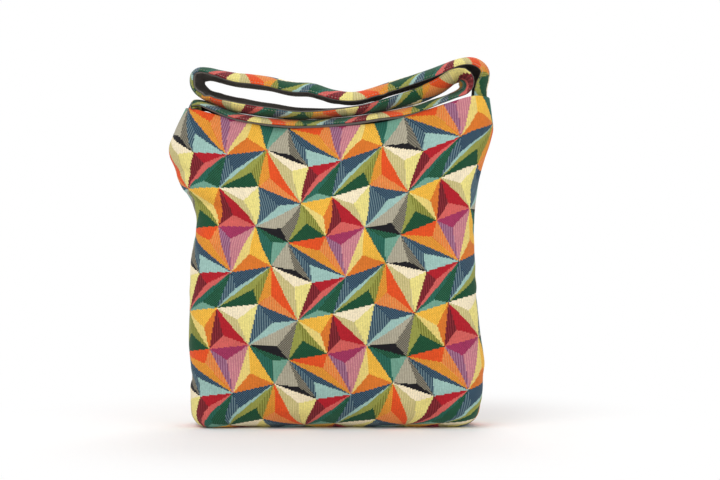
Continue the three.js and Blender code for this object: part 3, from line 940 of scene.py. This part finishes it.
def twill_cloth(name):
    material, shader, start = new_material(name)
    place = start.node("UVMap", {"uv_map": "cloth"})
    u, v = place.parts()
    rib = ((u + v) * (2 * math.pi / TWILL_STEP)).math("SINE") * 0.5 + 0.5
    grain = start.node("TexNoise", {"noise_dimensions": "2D"},
                       {"Vector": place, "Scale": 900.0, "Detail": 2.0})
    soft = start.node("TexNoise", {"noise_dimensions": "2D"},
                      {"Vector": place, "Scale": 40.0, "Detail": 3.0})
    # Painted shade: the rib darkens the colour in its grooves, where the bump sinks. Grain and soft
    # noise are the cloth's own tone.
    shade = rib * 0.5 + grain * 0.3 + soft * 0.2
    dark = start.node("RGB")
    dark.socket.default_value = tone("#4a4743")
    light = start.node("RGB")
    light.socket.default_value = tone("#7d766f")
    feed(shader, "Base Color", dark.mixed(light, shade))
    feed(shader, "Roughness", 0.95 - grain * 0.15)
    feed(shader, "Normal", start.node("Bump", sockets={
        "Strength": 0.4, "Distance": 0.0003, "Height": rib * 0.7 + grain * 0.3}))
    shader.inputs["Specular IOR Level"].default_value = 0.2
    shader.inputs["Sheen Weight"].default_value = 0.15
    return material


def cotton_thread(name):
    material, shader, start = new_material(name)
    place = start.node("TexCoord", out="Object")
    spots = start.node("TexNoise", sockets={"Vector": place, "Scale": 260.0, "Detail": 1.0})
    pale = start.node("RGB")
    pale.socket.default_value = tone("#b8af9a")
    worn = start.node("RGB")
    worn.socket.default_value = tone("#8f8676")
    feed(shader, "Base Color", pale.mixed(worn, spots))
    feed(shader, "Roughness", 0.55 + spots * 0.2)
    return material


twill_material = twill_cloth("twill")
thread_material = cotton_thread("thread")
print("three materials made")

# %% [markdown]
# ## Dress the model
# Each sheet rides on the bag's only body and stands for one solid of the imported model, which
# is then hidden. It could be parented by hand, but these calls do it for every piece. The
# stitches ride along.

# %% Materials and places
PIECES = [
    (front_panel, tapestry_material, "tapestry", "front_panel"),
    (back_panel, tapestry_material, "tapestry", "back_panel"),
    (lining_halves[0], twill_material, "twill", "lining_front"),
    (lining_halves[1], twill_material, "twill", "lining_back"),
    (strap_tapestry, tapestry_material, "tapestry", "strap_face"),
    (strap_twill, twill_material, "twill", "strap_backing"),
]
for piece, material, slot, node in PIECES:
    piece.data.materials.append(material)
    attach(piece, "root")
    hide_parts(node)
strap_stitching.data.materials.append(thread_material)
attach(strap_stitching, "root")
print(len(PIECES) + 1, "pieces ride on the bag")

# %% [markdown]
# ## Floor
# The bag stands on a pale floor before a white ground. A curved backdrop would need careful
# light to stay white, so the floor is a plain disc that fades to white away from the bag, and
# only for the camera. It keeps the bag's shadow and gives it some light from below.

# %% Floor
FLOOR_RADIUS = 3
FLOOR_FADE = (0.24, 0.50)    # from the middle of the bag: where the fade starts and ends

bm = bmesh.new()
bmesh.ops.create_circle(bm, cap_ends=True, segments=64, radius=FLOOR_RADIUS)
floor_mesh = bpy.data.meshes.new("floor")
bm.to_mesh(floor_mesh)
bm.free()
floor = bpy.data.objects.new("floor", floor_mesh)
bpy.context.scene.collection.objects.link(floor)
floor_material, floor_shader, floor_start = new_material("floor")
floor_shader.inputs["Base Color"].default_value = (0.93, 0.92, 0.92, 1)
floor_shader.inputs["Roughness"].default_value = 0.9
floor_shader.inputs["Specular IOR Level"].default_value = 0.0
floor_place = floor_start.node("TexCoord", out="Object")
away = floor_start.node("VectorMath", {"operation": "LENGTH"}, {0: floor_place}, "Value")
fade = floor_start.node("MapRange", {"interpolation_type": "SMOOTHSTEP"},
                        {"Value": away, "From Min": FLOOR_FADE[0], "From Max": FLOOR_FADE[1]})
seen = floor_start.node("LightPath", out="Is Camera Ray")
white = floor_start.node("Emission")
output = floor_material.node_tree.nodes["Material Output"]
both = floor_start.node("MixShader", sockets={0: fade * seen, 2: white})
floor_material.node_tree.links.new(floor_shader.outputs[0], both.socket.node.inputs[1])
floor_material.node_tree.links.new(both.socket, output.inputs["Surface"])
floor.data.materials.append(floor_material)
print("the floor fades from", FLOOR_FADE[0], "to", FLOOR_FADE[1], "m")

# %% [markdown]
# ## Light
# The photograph has the soft, even light of a studio. A sky picture could give it, but a plain
# world does too: it is white to the camera and softer to everything else. Three large lamps add
# form without hard shadows: a main one from the upper left, a fill from the right and one from
# behind for the mouth.

# %% World and lamps
AMBIENT = 0.65
AIM = Vector((0, 0, 0.2))
world = bpy.data.worlds.new("studio")
world.use_nodes = True
bpy.context.scene.world = world
world_tree = world.node_tree
ground = world_tree.nodes["Background"]
sky = Wire(world_tree)
rays = sky.node("LightPath", out="Is Camera Ray")
ground.inputs["Color"].default_value = (1, 1, 1, 1)
lit = rays * (1 - AMBIENT) + AMBIENT
world_tree.links.new(lit.socket, ground.inputs["Strength"])

LAMPS = [  # place, size, watts
    ((-1.0, -1.4, 2.2), 1.6, 26),
    ((1.6, -1.4, 1.0), 1.4, 9),
    ((0.2, 1.3, 1.8), 1.2, 12),
]
for number, (place, size, watts) in enumerate(LAMPS):
    lamp_data = bpy.data.lights.new(f"lamp_{number}", "AREA")
    lamp_data.size = size
    lamp_data.energy = watts
    lamp = bpy.data.objects.new(f"lamp_{number}", lamp_data)
    lamp.location = place
    lamp.rotation_euler = (AIM - Vector(place)).to_track_quat("-Z", "Y").to_euler()
    bpy.context.scene.collection.objects.link(lamp)
bpy.context.scene.view_settings.view_transform = "Standard"
print(len(LAMPS), "lamps")

# %% [markdown]
# ## Finish
# The dressed bag must stay the size of the imported one. That could be judged by eye, but a few
# millimetres don't show.

# %% Finish
bpy.context.view_layer.update()
